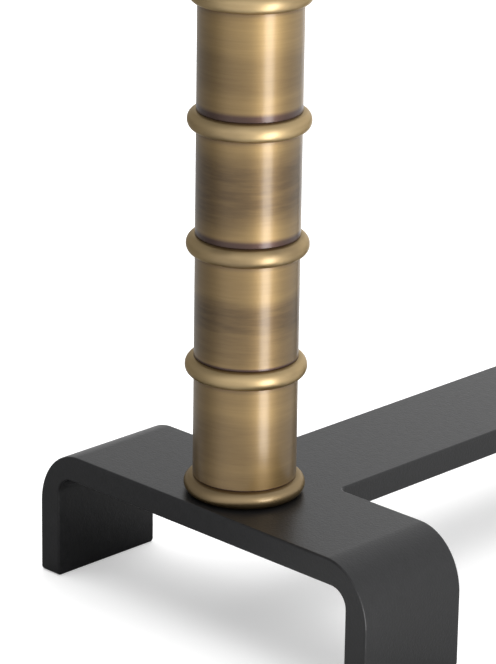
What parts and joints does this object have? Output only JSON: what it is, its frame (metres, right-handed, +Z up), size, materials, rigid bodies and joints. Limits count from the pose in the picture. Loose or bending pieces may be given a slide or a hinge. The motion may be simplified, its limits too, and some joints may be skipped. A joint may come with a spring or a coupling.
{
  "type": "andiron",
  "caption": "Andiron with a T-shaped black base bent from flat bar, a long log bar at the back, and an upright brass column in bamboo style with half-round rings.",
  "frame": {"origin": "centre of the overall footprint, on the floor that the three feet stand on", "axes": "+Z up, +Y back along the log bar from the column to the rear leg, +X across the front bridge"},
  "size_m": [0.1686, 0.465, 0.385],
  "materials": {
    "powder_coat": "fine-textured satin black powder coat on steel",
    "brass_tubes": "antique brass, brushed around the tube, with brown patina towards the ends",
    "brass_rings": "antique brass, turned and polished, with brown patina in the joints",
    "zinc_hardware": "bright zinc-plated steel"
  },
  "bodies": {
    "root": {"front_bridge": "powder_coat", "log_bar": "powder_coat", "weld_left": "powder_coat", "weld_right": "powder_coat", "weld_under": "powder_coat", "base_ring": "brass_rings", "tube_1": "brass_tubes", "tube_2": "brass_tubes", "tube_3": "brass_tubes", "tube_4": "brass_tubes", "tube_5": "brass_tubes", "tube_6": "brass_tubes", "tube_7": "brass_tubes", "node_ring_1": "brass_rings", "node_ring_2": "brass_rings", "node_ring_3": "brass_rings", "node_ring_4": "brass_rings", "node_ring_5": "brass_rings", "node_ring_6": "brass_rings", "top_ring": "brass_rings", "cap": "brass_rings", "tie_rod": "zinc_hardware", "flat_washer": "zinc_hardware", "spring_washer": "zinc_hardware", "clamp_nut": "zinc_hardware"}
  },
  "joints": []
}
